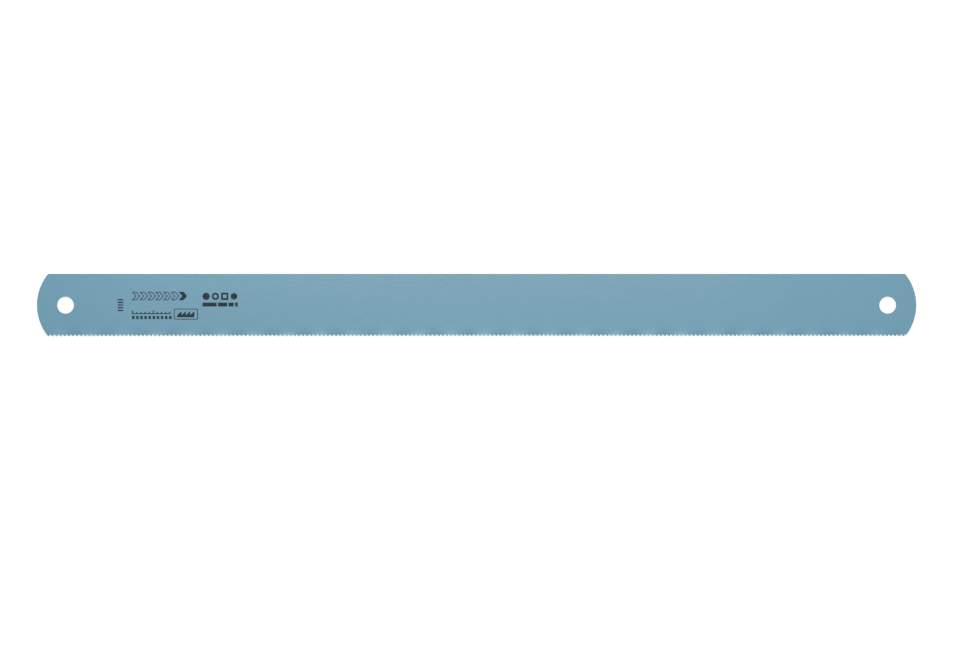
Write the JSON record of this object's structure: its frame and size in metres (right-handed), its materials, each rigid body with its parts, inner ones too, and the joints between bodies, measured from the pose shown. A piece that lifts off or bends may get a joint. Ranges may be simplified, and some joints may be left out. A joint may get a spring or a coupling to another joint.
{
  "type": "machine hacksaw blade",
  "caption": "Flat machine hacksaw blade: a lacquered steel strip with rounded ends, a pin hole near each end and a wavy-set row of teeth, tensioned in a power saw to cut metal bar.",
  "frame": {"origin": "midway between the pin holes, on the surface that the blade lies on, under the tips of the teeth that lean down furthest", "axes": "+X along the blade, the way the cutting faces look; -Y from the back edge to the teeth; +Z out of the upper face, which carries the mark"},
  "size_m": [0.5344, 0.038, 0.0025],
  "materials": {
    "back_lacquer": "satin",
    "edge_lacquer": "satin"
  },
  "bodies": {
    "root": {"backing_strip": "back_lacquer", "tooth_edge": "edge_lacquer"}
  },
  "joints": []
}
